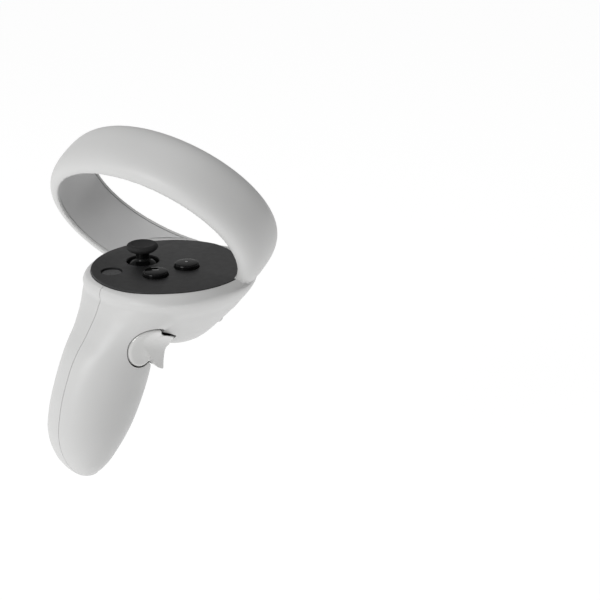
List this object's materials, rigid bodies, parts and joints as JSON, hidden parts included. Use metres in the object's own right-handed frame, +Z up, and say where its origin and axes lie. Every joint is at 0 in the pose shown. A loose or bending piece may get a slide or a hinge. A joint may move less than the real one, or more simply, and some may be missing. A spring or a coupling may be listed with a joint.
{
  "type": "vr motion controller",
  "caption": "Left-hand motion controller: tapered handle, round thumb plate with stick and buttons, finger triggers, and a slanted tracking ring.",
  "frame": {"origin": "centre of the thumb plate's top face", "axes": "+Z up out of the thumb plate, +Y forward, away from the user, +X towards the thumb (medial) side of a left hand"},
  "size_m": [0.099, 0.094, 0.1362],
  "materials": {
    "shell_grey": "satin light grey moulded plastic, fine texture",
    "trigger_grey": "smoother, slightly glossy light grey plastic",
    "plate_black": "fine satin black plastic",
    "gloss_black": "glossy black plastic",
    "rubber_black": "matt soft rubber with fine knurl",
    "menu_grey": "satin dark grey plastic",
    "inner_black": "unpainted black nylon",
    "steel": "bright zinc-plated steel",
    "circuit_board": "green solder mask over glass laminate",
    "flex_amber": "amber polyimide flex",
    "cell_wrap": "blue and silver cell wrap"
  },
  "bodies": {
    "housing": {"housing_medial": "shell_grey", "housing_lateral": "shell_grey", "ring_inner_cover": "shell_grey", "led_flex_strip": "flex_amber", "faceplate": "plate_black", "main_board": "circuit_board", "x_button_switch": "steel", "y_button_switch": "steel", "menu_button_switch": "steel", "thumbstick_module": "inner_black", "index_trigger_pin": "steel", "index_trigger_spring": "steel", "grip_trigger_pin": "steel", "grip_trigger_spring": "steel", "inner_frame": "inner_black", "battery_cell": "cell_wrap", "battery_cradle": "inner_black", "battery_contact_plate": "steel", "battery_contact_spring": "steel", "haptic_motor": "steel", "strap_anchor_bar": "steel", "housing_screw_head": "steel", "housing_screw_rear": "steel", "housing_screw_front": "steel"},
    "stick_press": {"thumbstick_carrier": "inner_black"},
    "stick_pitch_ring": {"thumbstick_gimbal": "steel"},
    "stick": {"thumbstick_shaft": "gloss_black", "thumbstick_cap": "rubber_black"},
    "x_button": {"x_button": "gloss_black"},
    "y_button": {"y_button": "gloss_black"},
    "menu_button": {"menu_button": "menu_grey"},
    "index_trigger": {"index_trigger": "shell_grey", "index_trigger_magnet": "steel"},
    "grip_trigger": {"grip_trigger": "trigger_grey", "grip_trigger_magnet": "steel"},
    "battery_cover": {"battery_cover": "shell_grey"}
  },
  "joints": [
    {"name": "stick_press", "type": "slide", "parent": "housing", "child": "stick_press", "axis": [0, 0, -1], "range_m": [0, 0.0004], "stiffness_N_per_m": 600},
    {"name": "stick_pitch", "type": "hinge", "parent": "stick_press", "child": "stick_pitch_ring", "pos_m": [-0.0118, -0.0051, -0.008], "axis": [1, 0, 0], "range_deg": [-15, 15], "stiffness_Nm_per_rad": 0.02},
    {"name": "stick_roll", "type": "hinge", "parent": "stick_pitch_ring", "child": "stick", "pos_m": [-0.0118, -0.0051, -0.008], "axis": [0, 1, 0], "range_deg": [-15, 15], "stiffness_Nm_per_rad": 0.02},
    {"name": "x_press", "type": "slide", "parent": "housing", "child": "x_button", "axis": [0, 0, -1], "range_m": [0, 0.0009], "stiffness_N_per_m": 250},
    {"name": "y_press", "type": "slide", "parent": "housing", "child": "y_button", "axis": [0, 0, -1], "range_m": [0, 0.0009], "stiffness_N_per_m": 250},
    {"name": "menu_press", "type": "slide", "parent": "housing", "child": "menu_button", "axis": [0, 0, -1], "range_m": [0, 0.0006], "stiffness_N_per_m": 250},
    {"name": "index_pull", "type": "hinge", "parent": "housing", "child": "index_trigger", "pos_m": [0, 0.0275, -0.0135], "axis": [-1, 0, 0], "range_deg": [0, 15], "stiffness_Nm_per_rad": 0.12, "deforming": ["index_trigger_spring"]},
    {"name": "grip_squeeze", "type": "hinge", "parent": "housing", "child": "grip_trigger", "pos_m": [0.0085, -0.0295, -0.025], "axis": [0, 0.2957, 0.9553], "range_deg": [0, 8], "stiffness_Nm_per_rad": 0.2, "deforming": ["grip_trigger_spring"]},
    {"name": "battery_cover_off", "type": "slide", "parent": "housing", "child": "battery_cover", "axis": [-1, 0, 0], "range_m": [0, 0.03]}
  ]
}
